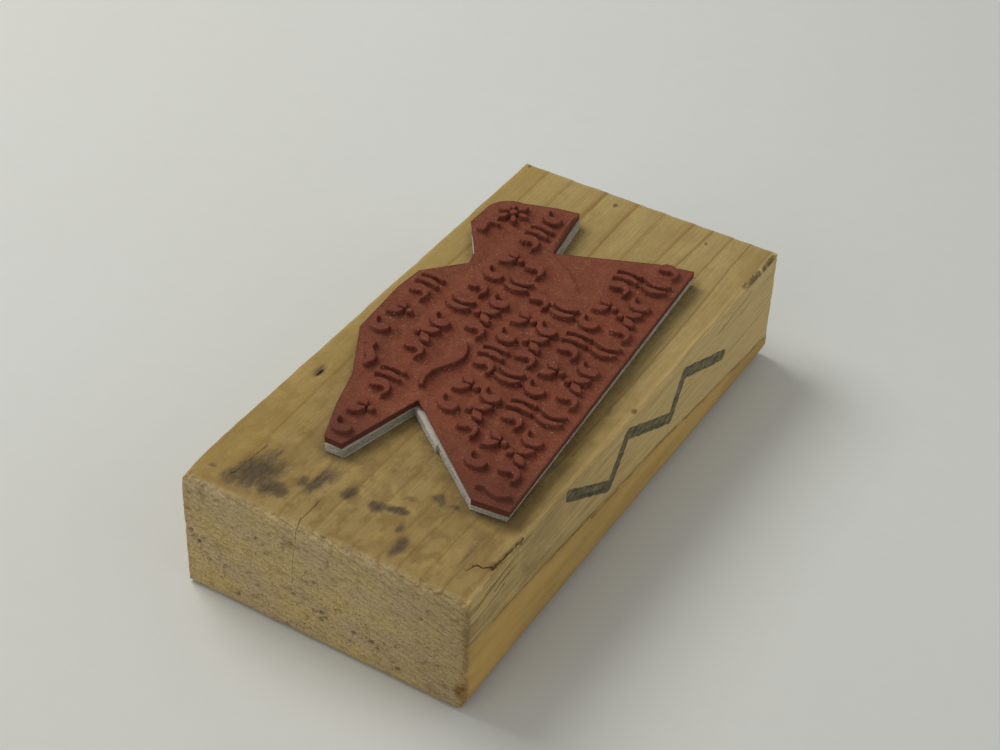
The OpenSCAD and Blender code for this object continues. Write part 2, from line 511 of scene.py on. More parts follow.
def rounded_box(flat):
    """The block with its edges worn round, by different amounts, and its normals."""
    wear = layered_noise(flat * 0.18, 11)
    x, y, z = flat.T
    near_left = np.exp(-((x + RIGHT) ** 2 + (y - NEAR) ** 2 + (z - TOP) ** 2) / 9)
    top_wear = 0.55 + 0.7 * wear + 0.25 * (layered_noise(flat * 0.9, 12) - 0.5)
    radii = {
        ((0, 2), (-1, 1)): top_wear + 0.1 + 1.1 * near_left,
        ((0, 2), (1, 1)): 0.75 * top_wear,
        ((0, 2), (-1, -1)): 0.4 + 0.8 * wear,
        ((0, 2), (1, -1)): 2.6 + 0.8 * wear,
        ((1, 2), (-1, 1)): top_wear + 0.85 + 0.7 * near_left,
        ((1, 2), (1, 1)): top_wear,
        ((1, 2), (-1, -1)): 0.5 + 0.9 * wear,
        ((1, 2), (1, -1)): 0.5 + 0.9 * wear,
        ((0, 1), (-1, -1)): 0.35 + 0.3 * wear + 0.5 * near_left,
        ((0, 1), (1, -1)): 0.35 + 0.5 * wear,
        ((0, 1), (-1, 1)): 0.5 + 0.7 * wear,
        ((0, 1), (1, 1)): 0.5 + 0.3 * wear,
    }
    rounded = flat - centre
    for (axes, signs), radius in radii.items():
        round_corner(rounded, axes, signs, radius)
    core = half_size - CORE_INSET
    normal = rounded - np.clip(rounded, -core, core)
    normal /= np.maximum(np.linalg.norm(normal, axis=1), 1e-9)[:, None]
    return rounded + centre, normal


def hill(value, middle, width):
    return np.exp(-((value - middle) / width) ** 2)


def block_points(flat):
    """The block's surface, worn and rounded, and masks for its shader."""
    rounded, normal = rounded_box(flat)
    right, far, top = np.clip(normal, 0, 1).T
    left, near, under = np.clip(-normal, 0, 1).T
    ends = np.maximum(near, far)
    x, y, z = flat.T
    plan = flat[:, :2]

    def noise(seed, *scale, octaves=3):
        return layered_noise(flat * scale, seed, octaves)

    # Planed top and sides: the soft wood is worn down between the rings
    ring = ring_phase(flat)
    part = ring - np.floor(ring)
    late = smooth_step(part, 0.4, 0.92) * (1 - smooth_step(part, 0.94, 1))
    depth = 0.04 * (1 - late) * np.maximum(top, 0.6 * np.maximum(left, under))
    depth += 0.08 * smooth_step(noise(21, 0.22, 0.09, 0.22), 0.55, 0.85) * (top + left)
    depth += 0.05 * noise(22, 1.6, 0.25, 1.6) * (1 - ends)

    # The near and right edges of the top are bruised and fibrous
    bruise = hill(y, NEAR, 1.5) * smooth_step(z, 16.5, 18.5)
    depth += 0.22 * bruise * smooth_step(noise(23, 1.6, 0.9, 1.4), 0.4, 0.8)
    bruise = hill(x, RIGHT, 0.9) * smooth_step(z, 17.6, 18.8)
    depth += 0.16 * bruise * smooth_step(noise(24, 0.8, 0.2, 0.8), 0.45, 0.8)

    # Cracks on the top, the loose splinter outside the longest, and the knot's hollow
    skyward = smooth_step(top, 0.2, 0.6)
    cracks = [(SPLINTER, 0.34, 0.22, skyward)] + [(path, 0.3, 0.04, top) for path in TOP_CRACKS]
    for path, width, most, mask in cracks:
        depth += most * (1 - smooth_step(path_distance(plan, path), 0.3 * width, width)) * mask
    loose = smooth_step(x - np.interp(y, [-40, -37.2, -35.9, -34], [17, 17.8, 19.6, 20.3]), 0.05, 0.5)
    loose *= smooth_step(y, -39.5, -37.5) * (1 - smooth_step(y, -33, -29))
    depth += 0.24 * loose * skyward
    depth += 0.5 * hill(x, KNOT[0], 0.45) * hill(y, KNOT[1], 1.3) * top

    # The sawn upper part of the right side, its line, and the smooth part below
    line = np.interp(y, *np.array(SAW_LINE).T) + 0.35 * (noise(31, 0.1, 0.22, 0.1) - 0.5)
    above = smooth_step(z - line, -0.15, 0.35)
    depth += (0.13 * noise(32, 0.3, 0.07, 2.2) + 0.1 * noise(33, 0.3, 0.8, 0.5)) * above * right
    split = smooth_step(noise(34, 0.1, 0.12, 0.1), 0.35, 0.65)
    depth += (0.03 + 0.16 * split) * hill(z, line, 0.28) * right
    depth += 0.12 * smooth_step(line - z, 0.2, 5) * right
    depth += 0.05 * noise(35, 0.2, 0.1, 0.8) * (1 - above) * right

    # Flat and clean under the cushion, and darker along its foot, partly grime and partly painted shade
    outline, *_ = slab("foam_cushion")
    cushion_away = np.where(inside(plan, outline), 0, path_distance(plan, closed(outline)))
    depth *= 1 - smooth_step(top, 0.5, 0.9) * (1 - smooth_step(cushion_away, 0.1, 1.6))
    foot = top * hill(cushion_away, 0, 0.5 + 0.9 * noise(36, 0.5, 0.5, 0.5))

    # Ends: sawn across the grain, with pits
    depth += (0.10 * noise(41, 0.7, 0.7, 0.7) + 0.07 * noise(42, 2.2, 1, 2.2)) * ends
    pits = np.zeros(len(flat))
    warp = 0.35 * (noise(43, 1.5, 1, 1.5) - 0.5)
    for px, pz, size in END_PITS:
        away = np.hypot(x - px + warp, (z - pz) * 1.3 + warp)
        pits = np.maximum(pits, 1 - smooth_step(away, 0.3 * size, size))
    pits *= near
    scatter = smooth_step(noise(44, 0.9, 0.9, 1.3, octaves=2), 0.74, 0.84) * ends
    depth += 0.4 * pits + 0.18 * scatter

    # Chips on the upright edges at the right
    chip = hill(x, RIGHT, 0.8) * hill(y, NEAR, 0.8)
    depth += 0.35 * chip * smooth_step(noise(45, 0.2, 0.2, 0.55), 0.5, 0.75)
    chip = hill(x, RIGHT, 0.9) * hill(y, FAR, 0.9)
    depth += 0.05 * chip * smooth_step(noise(46, 0.2, 0.2, 0.7), 0.45, 0.7)

    stain = np.zeros(len(flat))
    shift_x = 1.1 * (noise(51, 0.6, 0.28, 0.1, octaves=4) - 0.5)
    shift_y = 1.6 * (noise(52, 0.7, 0.3, 0.1, octaves=4) - 0.5)
    for px, py, wide, long, strength in STAINS:
        away = np.hypot((x - px + shift_x) / (1.15 * wide), (y - py + shift_y) / (1.15 * long))
        stain = np.maximum(stain, strength * (1 - smooth_step(away, 0.2, 1.7)))

    return rounded - normal * depth[:, None], {
        "ring": ring, "end": ends, "stain": stain * top, "foot": foot, "sawn": above * right, "side": right,
        "pit": np.clip(pits + 0.5 * scatter, 0, 1)}


def build_block():
    near_low = low[1] + EDGE_BAND
    xs = lattice_axis(low[0], high[0], 0.29, 0.16, EDGE_BAND)
    far_ys = lattice_axis(low[1], high[1], 0.95, 0.2, EDGE_BAND)
    near_ys = np.linspace(near_low, NEAR_ZONE, int(round((NEAR_ZONE - near_low) / 0.28)) + 1)
    ys = np.concatenate([np.linspace(low[1], near_low, 10)[:-1], near_ys, far_ys[far_ys > NEAR_ZONE]])
    zs = lattice_axis(low[2], high[2], 0.29, 0.16, EDGE_BAND)
    flat, faces = box_lattice(xs, ys, zs)
    points, masks = block_points(flat)
    piece = mesh_object("block", points, faces, pine(), smooth_angle=180)
    for name, values in masks.items():
        add_attribute(piece, name, values)
    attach(piece, "root")
    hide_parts("wood_block")


def wood_fields(s):
    """Values over the block that several parts of its colour and relief share."""
    w = SimpleNamespace()
    w.x, w.y, w.z = (s.axis(name) for name in "XYZ")
    for name in ("end", "stain", "sawn", "side"):
        setattr(w, name, s.attribute(name))

    # Growth rings: pale wood that darkens slowly, then a sharp outer line
    ring = s.plus(s.attribute("ring"), s.sway(s.noise((0.5, 0.06, 0.5), 3), 0.22))
    part = s.math("FRACT", ring)
    this_ring = s.white(s.math("FLOOR", ring))
    fade = s.smooth(part, 0.95, 1.0, 1.0, 0.0)
    slow = s.times(s.smooth(part, 0.3, 0.95), fade)
    late = s.times(s.smooth(part, 0.8, 0.95), fade)
    late = s.times_plus(late, 0.8, s.times(slow, 0.22))
    w.late = s.times(late, s.times_plus(this_ring, 0.6, 0.5))

    w.fibre = s.noise((5.0, 0.16, 5.0), 4, 0.62)
    w.fine_fibre = s.noise((16, 0.7, 16), 3, 0.6, (7, 3, 1))
    return w


def planed_wood(s, w):
    """Bare planed wood, handled and grubby, more so towards the near end, where painted shade darkens it as
    well.
    """
    broad = s.noise((0.16, 0.035, 0.16), 3, 0.5, (3, 1, 9))
    wood = Paint(s, s.smooth(broad, 0.3, 0.7), (0.54, 0.40, 0.165), (0.47, 0.335, 0.125))
    wood.tint((0.31, 0.16, 0.045), w.late, 0.72)
    wood.tint((0.29, 0.195, 0.07), s.smooth(w.fibre, 0.38, 0.7, 0.0, 0.38))
    wood.tint((0.56, 0.43, 0.20), s.smooth(w.fine_fibre, 0.52, 0.75, 0.0, 0.25))
    dashes = s.noise((9, 0.9, 9), 1, 0.5, (2, 8, 4))
    wood.tint((0.22, 0.13, 0.05), s.smooth(dashes, 0.68, 0.76, 0.0, 0.4))

    w.patch = s.noise((0.11, 0.09, 0.11), 4, 0.6, (11, 5, 2), distortion=0.4)
    nearness = s.smooth(w.y, 10, -42)
    grubby = s.times(s.smooth(w.patch, 0.4, 0.66), s.times_plus(nearness, 0.5, 0.18))
    wood.tint((0.25, 0.165, 0.062), grubby)
    pale = s.smooth(s.noise((0.5, 0.22, 0.5), 4, 0.6, (9, 3, 4)), 0.52, 0.68)
    wood.tint((0.62, 0.45, 0.16), s.times(pale, s.times_plus(nearness, 0.5, 0.12)))
    blotch = s.smooth(s.noise((0.42, 0.3, 0.42), 4, 0.62, (2, 6, 1)), 0.46, 0.62)
    wood.tint((0.215, 0.13, 0.05), s.times(blotch, s.times_plus(nearness, 0.55, 0.13)))
    # Darker towards the near end: partly grime, partly painted shade.
    wood.tint((0.33, 0.215, 0.072), nearness, 0.5)
    wood.tint((0.47, 0.315, 0.085), s.smooth(w.x, -8, -21, 0.0, 0.4))
    return wood


def end_grain(s, w):
    """Colour and height of the sawn ends: fine ring lines above, torn flecks below."""
    w.end_fibre = s.noise((4, 1, 4), 4, 0.65, (1, 1, 6))
    zone = s.noise((0.15, 0.1, 0.24), 3, 0.55, (4, 2, 7))
    grain = Paint(s, s.smooth(zone, 0.38, 0.62), (0.74, 0.55, 0.245), (0.68, 0.51, 0.29))
    grain.tint((0.33, 0.235, 0.11), s.smooth(w.end_fibre, 0.4, 0.72, 0.0, 0.5))
    ruddy = s.smooth(s.noise((0.5, 0.1, 0.8), 4, 0.65, (2, 2, 3)), 0.52, 0.7)
    grain.tint((0.34, 0.185, 0.075), ruddy, 0.5)

    clear = s.math("MAXIMUM", s.smooth(w.z, 11.5, 17.0), s.smooth(s.plus(w.x, w.z), 15, 30))
    clear = s.times(clear, s.smooth(zone, 0.7, 0.45, 0.35, 1.0))
    broken = s.smooth(s.noise((0.35, 0.3, 0.9), 3, offset=(5, 5, 5)), 0.32, 0.6, 0.25, 1.0)
    lines = s.times(s.times(w.late, broken), s.times_plus(clear, 0.62, 0.06))
    grain.tint((0.20, 0.125, 0.05), lines)

    lower = s.smooth(s.times_plus(w.x, 0.12, w.z), 14, 7.5, 0.12, 1.0)
    fleck = s.smooth(s.noise((1.5, 1, 2.2), 5, 0.72, (8, 1, 3)), 0.52, 0.66)
    torn = s.smooth(s.noise((2.6, 1, 3.4), 4, 0.7, (3, 7, 5)), 0.57, 0.7)
    grain.tint((0.76, 0.58, 0.25), s.times(fleck, lower), 0.65)
    grain.tint((0.215, 0.115, 0.042), s.times(torn, lower), 0.8)
    grain.tint((0.62, 0.48, 0.26), s.minus(1.0, lower), 0.35)
    grain.tint((0.34, 0.25, 0.12), s.smooth(w.x, 4, 21, 0.0, 0.3))
    smear = s.noise((0.22, 1, 1.7), 4, 0.6, (3, 3, 9))
    grain.tint((0.37, 0.26, 0.12), s.smooth(smear, 0.5, 0.7, 0.0, 0.42))

    place = s.combined(s.plus(w.x, s.times(s.minus(torn, fleck), 0.12)), 0, w.z)
    split = s.near_line(place, segments([END_SPLIT], 1))
    grain.tint((0.76, 0.60, 0.30), s.smooth(split, 0.3, 0.1, 0.0, 0.5))
    grain.tint((0.20, 0.12, 0.05), s.smooth(split, 0.1, 0.03, 0.0, 0.6))
    knot = s.plus(s.vector("LENGTH", s.about((20.4, 0, 3.6), (1, 0, 0.8))), s.times(w.end_fibre, 0.9))
    grain.tint((0.24, 0.085, 0.03), s.smooth(knot, 1.9, 0.9, 0.0, 0.75))

    height = s.times_plus(w.end_fibre, 1.0, s.times(fleck, 0.4))
    height = s.minus(height, s.times(torn, 0.5))
    return grain.colour, s.plus(height, s.times(w.late, 0.3))


def right_side(s, w, wood):
    """The right side: a grey sawn part over a golden, smoother one, and a line between."""
    w.saw = s.noise((1, 0.1, 5.5), 4, 0.62, (6, 2, 2))
    sawn_wood = Paint(s, s.smooth(w.saw, 0.35, 0.68), (0.80, 0.59, 0.255), (0.55, 0.38, 0.145))
    # Painted light: the sawn part grows lighter towards the far end.
    sawn_wood.tint((0.98, 0.77, 0.38), s.smooth(w.y, -24, 34, 0.06, 0.42))
    weather = s.times(s.smooth(w.y, 5, -40), s.smooth(w.patch, 0.35, 0.6))
    sawn_wood.tint((0.26, 0.18, 0.085), weather, 0.6)
    layers = s.smooth(s.noise((1, 0.06, 1.9), 4, 0.6, (2, 7, 3)), 0.54, 0.66)
    layers = s.times(layers, s.smooth(w.y, -22, -38, 0.1, 0.6))
    sawn_wood.tint((0.20, 0.115, 0.045), layers)
    wood.tint(sawn_wood.colour, w.sawn, 0.8)

    golden = s.noise((0.3, 0.05, 0.35), 3, offset=(1, 9, 9))
    golden = s.mix(s.smooth(golden, 0.35, 0.65), (0.70, 0.45, 0.145), (0.55, 0.345, 0.107))
    wood.tint(golden, s.minus(w.side, w.sawn, clamp=True), 0.75)
    # Painted shade: the right side darkens towards the floor.
    wood.tint((0.20, 0.12, 0.035), s.times(w.side, s.smooth(w.z, 3.6, 0.6, 0.0, 0.6)))
    pale_fibre = s.noise((1, 0.035, 3.2), 3, 0.6, (8, 8, 1))
    pale_fibre = s.times(s.times_plus(w.sawn, 0.8, s.times(w.side, 0.2)),
                         s.smooth(pale_fibre, 0.52, 0.66, 0.0, 0.6))
    wood.tint((0.82, 0.64, 0.33), pale_fibre)
    dark_fibre = s.noise((1, 0.045, 4.0), 3, 0.65, (3, 2, 6))
    dark_fibre = s.times(w.sawn, s.smooth(dark_fibre, 0.56, 0.68, 0.0, 0.5))
    wood.tint((0.30, 0.195, 0.08), dark_fibre)

    w.side_place = s.combined(0, w.y, s.plus(w.z, s.sway(s.noise((0, 0.3, 0)), 0.8)))
    line = s.near_line(w.side_place, segments([SAW_LINE], 0))
    line = s.times(s.smooth(line, 0.3, 0.06), w.side)
    broken = s.smooth(s.noise((0, 0.35, 0.4), 3, offset=(0, 9, 3)), 0.38, 0.6)
    wood.tint((0.17, 0.085, 0.03), s.times(line, s.times_plus(broken, 0.4, 0.06)))

    # The upright near right edge is dirty and a little crushed
    corner = s.times(s.smooth(w.x, 19.9, 21.2), s.smooth(w.y, -41.1, -42.2))
    corner = s.times(corner, s.smooth(w.end_fibre, 0.35, 0.6, 0.25, 0.75))
    wood.tint((0.19, 0.115, 0.05), corner)
    return line


def crack_masks(s, w):
    """Where the splinter's crack is, and where the fine cracks of the top and right side are."""
    place = s.combined(s.plus(w.x, s.sway(s.noise((1.2, 1.2, 0)), 0.7)), w.y, 0)
    w.upward = s.smooth(w.z, 17.2, 17.8)
    away = s.near_line(place, segments([SPLINTER], 2))
    crack = s.minus(1.0, s.math("DIVIDE", away, s.smooth(w.x, 17.4, 20.4, 0.08, 0.17)), clamp=True)
    crack = s.times(s.math("POWER", crack, 0.5), w.upward)

    fine = s.times(s.smooth(s.near_line(place, segments(TOP_CRACKS, 2)), 0.1, 0.02), w.upward)
    fine = s.times(fine, s.smooth(w.fibre, 0.35, 0.55, 0.25, 0.8))
    splits = s.near_line(w.side_place, segments(SIDE_SPLITS, 0))
    splits = s.times(s.smooth(splits, 0.17, 0.05), w.side)
    splits = s.times(splits, s.smooth(w.saw, 0.35, 0.6, 0.1, 0.95))
    return crack, s.math("MAXIMUM", fine, splits)


def dirtied(s, w, wood):
    """Stains on the top, and grime, painted shade and crumbs along the cushion's foot."""
    w.threads = s.noise((1.7, 0.8, 1), 5, 0.68, (4, 4, 4))
    dirt = s.times(w.stain, s.smooth(w.threads, 0.35, 0.68, 1.0, 0.55))
    wood.tint((0.155, 0.106, 0.058), s.smooth(dirt, 0.0, 0.5, 0.0, 0.7))
    # Darker along the cushion's foot: partly grime, partly painted contact shade.
    foot = s.times(s.attribute("foot"), s.smooth(w.threads, 0.3, 0.6, 0.75, 0.4))
    wood.tint((0.12, 0.09, 0.04), foot)
    crumbs = s.smooth(s.cells(s.stretched((2.6, 2.6, 1), (1, 2, 0))), 0.2, 0.12)
    wood.tint((0.035, 0.045, 0.025), s.times(crumbs, s.smooth(foot, 0.1, 0.35, 0.0, 0.8)))
    core = s.times(s.smooth(dirt, 0.25, 0.85, 0.0, 0.8), s.smooth(w.fibre, 0.3, 0.6, 0.7, 1.0))
    wood.tint((0.075, 0.055, 0.038), core)


def marked(s, w, wood):
    """The slit knot, small dots, the barky streak, a smear and the pits of the end."""
    w.ragged = s.noise((2.4, 1.3, 1), 4, 0.65)
    place = s.vector("ADD", s.about(KNOT, (1.0, 0.55, 0.0)), s.combined(s.sway(w.ragged, 0.5), 0, 0))
    knot = s.times(s.smooth(s.vector("LENGTH", place), 1.0, 0.4), w.upward)
    wood.tint((0.19, 0.12, 0.075), knot, 0.6)
    slit = s.vector("LENGTH", s.vector("MULTIPLY", place, (2.6, 1, 0)))
    slit = s.times(s.smooth(slit, 0.55, 0.3), w.upward)
    wood.tint((0.035, 0.02, 0.03), slit)
    for x, y, size in DOTS:
        away = s.vector("LENGTH", s.about((x, y, 19), (1, 0.7, 0)))
        dot = s.times(s.smooth(away, size, 0.4 * size), w.upward)
        wood.tint((0.13, 0.065, 0.03), dot, 0.7)

    place = s.vector("ADD", s.place, s.combined(s.sway(w.ragged, 0.9), 0, 0))
    streak = s.smooth(s.near_line(place, EDGE_STREAK), 0.6, 0.25)
    streak = s.times(streak, s.smooth(w.threads, 0.38, 0.55, 0.35, 1.0))
    wood.tint((0.095, 0.06, 0.025), streak, 0.8)

    smear = s.plus(s.vector("LENGTH", s.about(SMEAR, (1.3, 0.45, 0))), s.times(w.threads, 1.1))
    smear = s.times(s.smooth(smear, 1.35, 0.6, 0.0, 0.55), w.upward)
    wood.tint((0.13, 0.115, 0.05), smear)
    wood.tint((0.14, 0.08, 0.034), s.attribute("pit"), 0.75)
    return slit


def penned(s, w, wood):
    """The zigzag in marker pen, dry in places and darker where the pen went back over it."""
    shake = s.noise((0, 0.9, 0.9), 2, offset=(0, 4, 4))
    place = s.combined(0, w.y, s.plus(w.z, s.sway(shake, 0.5)))
    away = s.near_line(place, segments([ZIGZAG], 0))
    again = s.near_line(place, segments(RETRACED, 0))
    dry = s.noise((0, 0.5, 5), 4, 0.7, (0, 1, 8))
    ink = s.times(s.smooth(away, 0.98, 0.78), w.side)
    ink = s.times(ink, s.smooth(dry, 0.4, 0.66, 0.97, 0.42))
    wood.tint((0.07, 0.086, 0.068), ink)
    rim = s.times(s.smooth(away, 0.4, 0.8), ink)
    rim = s.math("MAXIMUM", rim, s.times(s.smooth(again, 0.45, 0.3), ink))
    wood.tint((0.05, 0.06, 0.045), rim, 0.5)


def pine():
    s = Shader("pine", roughness=0.6, specular=0.09)
    w = wood_fields(s)
    wood = planed_wood(s, w)
    grain, end_height = end_grain(s, w)
    wood.tint(grain, w.end)
    line = right_side(s, w, wood)
    crack, fine_cracks = crack_masks(s, w)
    dirtied(s, w, wood)
    wood.tint((0.07, 0.04, 0.02), fine_cracks, 0.7)
    wood.tint((0.10, 0.052, 0.02), crack, 0.85)
    slit = marked(s, w, wood)
    penned(s, w, wood)
    s.set("Base Color", wood.colour)

    rough = s.smooth(w.fibre, 0.3, 0.7, 0.58, 0.76)
    s.set("Roughness", s.math("MAXIMUM", rough, s.times(s.math("MAXIMUM", w.end, w.sawn), 0.8)))

    height = s.plus(s.times(w.fibre, -0.5), s.times(w.fine_fibre, 0.25))
    height = s.plus(height, s.times(w.late, 0.15))
    saw_height = s.times(s.noise((1, 0.4, 9), 3, 0.6, (1, 6, 2)), 0.8)
    saw_height = s.times_plus(w.saw, 0.9, saw_height)
    height = s.plus(height, s.times(saw_height, w.sawn))
    height = s.plus(height, s.times(end_height, w.end))
    for mask, depth in ((crack, 1.5), (fine_cracks, 0.6), (line, 0.9), (slit, 1.0)):
        height = s.minus(height, s.times(mask, depth))
    s.set("Normal", s.bump(height, 0.2))
    return s.material


# ---- the rubber die ----

SHEET = 1.1                  # thickness of the sheet under the relief, about
SHOULDER = 0.13              # half width of the slope from the relief down to the sheet
SPREAD = 0.09                # how far the middle of that slope is outside the sharp outline
RIM_SHIFTS = (-0.06, 0.02, 0.09, 0.17, 0.26)    # rows of points down that slope, from the sharp outline
GROUND_STEP = 0.3            # distance between points on the plain ground
MERGED = 0.045               # points of the slope nearer to each other than this are one
NOTCH_FLANK = ((-1.5, -17.6), (12.6, -28.6))    # the cut that leans in over the cushion

# Low ridges that the mould left on the plain ground, as (x, y) paths
MOULD_RIDGES = [[(-5.3, 20.6), (-3.7, 19.9), (-0.2, 18.1), (2.4, 15.4)],
                [(-5.9, 29.6), (-5.3, 24.4), (-5.0, 21.6)]]


def well_inside(points, outline, inset):
    """True for the points inside a closed outline and further than inset from it."""
    return inside(points, outline) & (path_distance(points, closed(outline)) > inset)


def fill_points(outline, spacing, inset):
    """A jittered grid of points inside an outline, kept a little away from its edge."""
    low_x, low_y = outline.min(0)
    high_x, high_y = outline.max(0)
    gx, gy = np.meshgrid(np.arange(low_x, high_x, spacing), np.arange(low_y, high_y, spacing * 0.87))
    gx = gx + (np.arange(gx.shape[0]) % 2)[:, None] * spacing / 2
    points = np.stack([gx.ravel(), gy.ravel()], axis=1)
    cell = np.column_stack([np.round(points / spacing).astype(np.int64), np.zeros(len(points), np.int64)])
    points = points + spacing * 0.25 * np.stack([hashed(cell, 3) - 0.5, hashed(cell, 4) - 0.5], axis=1)
    return points[well_inside(points, outline, inset)]


def triangulated(points, boundary_count):
    """Triangles that join the points inside the closed boundary made by the first of them."""
    edges = [(i, (i + 1) % boundary_count) for i in range(boundary_count)]
    result = delaunay_2d_cdt([Vector(p) for p in points], edges, [], 1, 1e-7)
    assert len(result[0]) == len(points)
    return np.array([tuple(v) for v in result[0]]), result[2]


def island_distance(points, islands, reach):
    """Signed distance from each point to the relief's edge, positive on the relief."""
    signed = np.full(len(points), -reach)
    for island in islands:
        box_low, box_high = island.min(0) - reach, island.max(0) + reach
        close = np.nonzero(((points > box_low) & (points < box_high)).all(axis=1))[0]
        away = path_distance(points[close], closed(island))
        value = np.where(inside(points[close], island), away, -away)
        signed[close] = np.maximum(signed[close], value)
    return signed


def slab_mesh(outline, inner, top_z, wall_zs, wall_shift):
    """Points and faces of a slab: a detailed top, a wall in rows and a plain underside.

    top_z gives the height of the top's inner points, and wall_shift moves each wall row inwards."""
    count = len(outline)
    corners, triangles = triangulated(np.vstack([outline, inner]), count)
    points = [np.column_stack([corners, np.full(len(corners), wall_zs[-1])])]
    points[0][count:, 2] = top_z
    faces = [tuple(t) for t in triangles]
    sides = outward(outline)
    rows = [np.arange(count)]
    for row, z in enumerate(wall_zs[-2::-1]):
        shifted = outline - sides * wall_shift(outline, z)[:, None]
        points.append(np.column_stack([shifted, np.full(count, z)]))
        rows.append(np.arange(count) + len(corners) + row * count)
    for upper, lower in zip(rows[:-1], rows[1:]):
        quads = np.stack([upper, lower, np.roll(lower, -1), np.roll(upper, -1)], axis=1)
        faces += [tuple(q if turns_left(outline) else q[::-1]) for q in quads]
    _, under_triangles = triangulated(points[-1][:, :2], count)
    faces += [tuple(rows[-1][list(t)][::-1]) for t in under_triangles]
    return np.vstack(points), faces


def rubber_plan(outline, islands):
    """Places of the die's top points: rows that follow the relief, and a grid on the ground."""
    rims = []
    for island in islands:
        fine = resampled(island, 0.2)
        rims += [fine + outward(fine) * shift for shift in RIM_SHIFTS]
    grid = fill_points(outline, GROUND_STEP, 0.2)
    grid = grid[np.abs(island_distance(grid, islands, 0.6) + SPREAD) > 0.24]
    candidates = np.vstack(rims + [grid])
    candidates = candidates[well_inside(candidates, outline, 0.12)]
    _, first = np.unique(np.round(candidates / MERGED), axis=0, return_index=True)
    return candidates[np.sort(first)]


def rubber_top(inner, outline, islands, sheet_top, top):
    """Height of each top point, and masks for the shader."""
    at = np.column_stack([inner, np.zeros(len(inner))])
    far_signed = island_distance(inner, islands, 2.6)
    ragged = 0.12 * (layered_noise(at * 1.9, 60) - 0.5)
    signed = far_signed + SPREAD + ragged
    raised = smooth_step(signed, -SHOULDER - 0.05, SHOULDER)
    ground = 1 - raised
    to_edge = path_distance(inner, closed(outline))

    # The ground rolls between the rows of relief and climbs a little where it meets them
    valley = 1 - smooth_step(far_signed, -2.4, -0.5)
    rolls = (0.05 + 0.32 * valley + 0.22 * layered_noise(at * 0.42, 61)) * ground
    rolls *= smooth_step(to_edge, -0.5, 2.5)
    meniscus = 0.14 * smooth_step(signed, -0.7, -0.1) * ground
    from_ridges = [path_distance(inner + ragged[:, None], path) for path in MOULD_RIDGES]
    ridge = 0.42 * np.exp(-(np.min(from_ridges, axis=0) / 0.42) ** 2) * ground

    pores = 0.05 * layered_noise(at * 3.2, 62) * (1 - 0.4 * raised)
    wavy = 0.06 * layered_noise(at * 0.6, 63) * raised
    z = sheet_top + (top - sheet_top) * raised - rolls - pores - wavy + meniscus + ridge
    z = np.minimum(z, top) - 0.1 * (1 - smooth_step(to_edge, 0, 0.35))
    return z, {"relief": raised, "crease_shade": smooth_step(signed, -0.55, -0.05) * ground, "wall": 0,
               "valley": valley * ground}


def build_rubber():
    outline, floor_z, top, mesh = slab("rubber_die")
    heights = mesh[0][:, 2]
    sheet_top = np.median(heights[np.abs(heights - (floor_z + SHEET)) < 0.3])
    outline = resampled(outline, 0.3)
    islands = loops_at(*mesh, top)
    inner = rubber_plan(outline, islands)
    z, masks = rubber_top(inner, outline, islands, sheet_top, top)
    wall_zs = [floor_z + up for up in (0, 0.22, 0.45, 0.68)] + [sheet_top - 0.22, sheet_top - 0.1]

    def shift(edge, height):
        """A knife's wavy cut that leans in towards the cushion, most of all in the notch."""
        lift = (height - floor_z) / (sheet_top - floor_z)
        cut = np.column_stack([edge * 0.9, np.full(len(edge), height * 1.4)])
        lean = 0.05 + 0.42 * (1 - smooth_step(path_distance(edge, NOTCH_FLANK), 0.05, 0.5))
        return lean * (1 - lift) + 0.09 * layered_noise(cut, 64) + 0.04 * value_noise(cut * 3, 65)

    points, faces = slab_mesh(outline, inner, z, wall_zs, shift)
    piece = mesh_object("rubber", points, faces, rubber(), smooth_angle=48)
    for name, values in masks.items():
        layer = np.full(len(points), 1.0 if name == "wall" else 0.0)
        layer[len(outline):len(outline) + len(inner)] = values
        add_attribute(piece, name, layer)
    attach(piece, "root")
    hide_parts("rubber_die")


